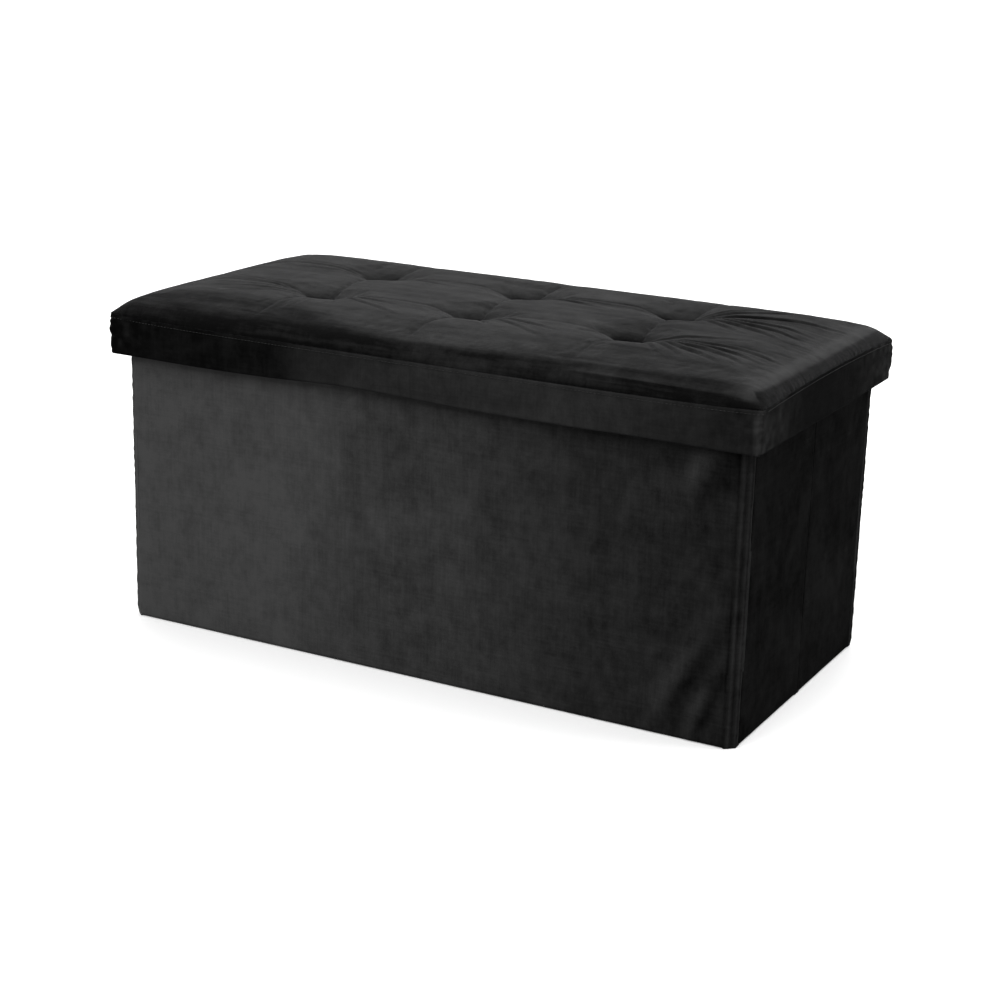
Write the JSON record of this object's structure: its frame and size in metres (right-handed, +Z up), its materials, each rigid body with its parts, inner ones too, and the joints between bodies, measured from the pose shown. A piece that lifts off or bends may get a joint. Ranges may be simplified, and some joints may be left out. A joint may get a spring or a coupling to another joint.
{
  "type": "storage ottoman",
  "caption": "Rectangular fabric storage ottoman with a tufted padded lift-off lid on a hollow box base whose end walls crease inwards and whose floor swings up, so that it folds flat.",
  "frame": {"origin": "on the ground, under the centre of the footprint", "axes": "+X along the length towards the right end as seen from the front, -Y towards the front, +Z up"},
  "size_m": [0.76, 0.38, 0.3795],
  "materials": {
    "seat_velvet": "soft short-pile velvet",
    "skirt_velvet": "soft short-pile velvet",
    "base_velvet": "soft short-pile velvet",
    "lining_cloth": "matt non-woven cloth",
    "fibreboard": "raw medium-density fibreboard",
    "foam": "open-cell foam",
    "twine": "waxed upholstery twine"
  },
  "bodies": {
    "front_wall": {"front_wall_board": "fibreboard", "front_wall_cover": "base_velvet", "front_wall_hem": "base_velvet", "front_wall_lining": "lining_cloth", "front_left_corner_band": "base_velvet", "front_right_corner_band": "base_velvet"},
    "left_front_half": {"left_front_half_board": "fibreboard", "left_front_half_cover": "base_velvet", "left_front_half_hem": "base_velvet", "left_front_half_lining": "lining_cloth"},
    "left_rear_half": {"left_rear_half_board": "fibreboard", "left_rear_half_cover": "base_velvet", "left_rear_half_hem": "base_velvet", "left_rear_half_lining": "lining_cloth"},
    "right_front_half": {"right_front_half_board": "fibreboard", "right_front_half_cover": "base_velvet", "right_front_half_hem": "base_velvet", "right_front_half_lining": "lining_cloth"},
    "right_rear_half": {"right_rear_half_board": "fibreboard", "right_rear_half_cover": "base_velvet", "right_rear_half_hem": "base_velvet", "right_rear_half_lining": "lining_cloth"},
    "back_wall": {"back_wall_board": "fibreboard", "back_wall_cover": "base_velvet", "back_wall_hem": "base_velvet", "back_wall_lining": "lining_cloth", "back_left_corner_band": "base_velvet", "back_right_corner_band": "base_velvet"},
    "floor": {"floor_board": "fibreboard", "floor_pull_tab": "base_velvet", "floor_top_cloth": "lining_cloth", "floor_under_cloth": "lining_cloth"},
    "lid": {"back_left_button": "seat_velvet", "back_left_tie_cord": "twine", "back_middle_button": "seat_velvet", "back_middle_tie_cord": "twine", "back_right_button": "seat_velvet", "back_right_tie_cord": "twine", "back_skirt": "skirt_velvet", "front_left_button": "seat_velvet", "front_left_tie_cord": "twine", "front_middle_button": "seat_velvet", "front_middle_tie_cord": "twine", "front_right_button": "seat_velvet", "front_right_tie_cord": "twine", "front_skirt": "skirt_velvet", "left_skirt": "skirt_velvet", "lid_back_rail": "fibreboard", "lid_deck_board": "fibreboard", "lid_front_rail": "fibreboard", "lid_left_rail": "fibreboard", "lid_lining": "lining_cloth", "lid_right_rail": "fibreboard", "right_skirt": "skirt_velvet", "seat_cover": "seat_velvet", "seat_foam": "foam"}
  },
  "joints": [
    {"name": "lid_lift", "type": "slide", "parent": "front_wall", "child": "lid", "axis": [0, 0, 1], "range_m": [0, 0.4]},
    {"name": "floor_lift", "type": "hinge", "parent": "front_wall", "child": "floor", "pos_m": [0, -0.168, 0.0054], "axis": [-1, 0, 0], "range_deg": [-90, 0]},
    {"name": "left_front_fold", "type": "hinge", "parent": "front_wall", "child": "left_front_half", "pos_m": [-0.357, -0.1635, 0.17], "axis": [0, 0, 1], "range_deg": [-90, 0], "deforming": ["left_front_half_hem"]},
    {"name": "left_crease_fold", "type": "hinge", "parent": "left_front_half", "child": "left_rear_half", "pos_m": [-0.3665, 0, 0.17], "axis": [0, 0, -1], "range_deg": [-180, 0], "deforming": ["left_rear_half_hem"]},
    {"name": "back_wall_fold", "type": "hinge", "parent": "left_rear_half", "child": "back_wall", "pos_m": [-0.357, 0.1635, 0.17], "axis": [0, 0, 1], "range_deg": [-90, 0], "deforming": ["back_wall_hem"]},
    {"name": "right_front_fold", "type": "hinge", "parent": "front_wall", "child": "right_front_half", "pos_m": [0.357, -0.1635, 0.17], "axis": [0, 0, -1], "range_deg": [-90, 0], "deforming": ["right_front_half_hem"]},
    {"name": "right_crease_fold", "type": "hinge", "parent": "right_front_half", "child": "right_rear_half", "pos_m": [0.3665, 0, 0.17], "axis": [0, 0, 1], "range_deg": [-180, 0], "deforming": ["right_rear_half_hem"]}
  ],
  "couplings": [
    {"joint": "left_crease_fold", "follows": "left_front_fold", "ratio": 2},
    {"joint": "back_wall_fold", "follows": "left_front_fold", "ratio": 1},
    {"joint": "right_front_fold", "follows": "left_front_fold", "ratio": 1},
    {"joint": "right_crease_fold", "follows": "left_front_fold", "ratio": 2}
  ]
}
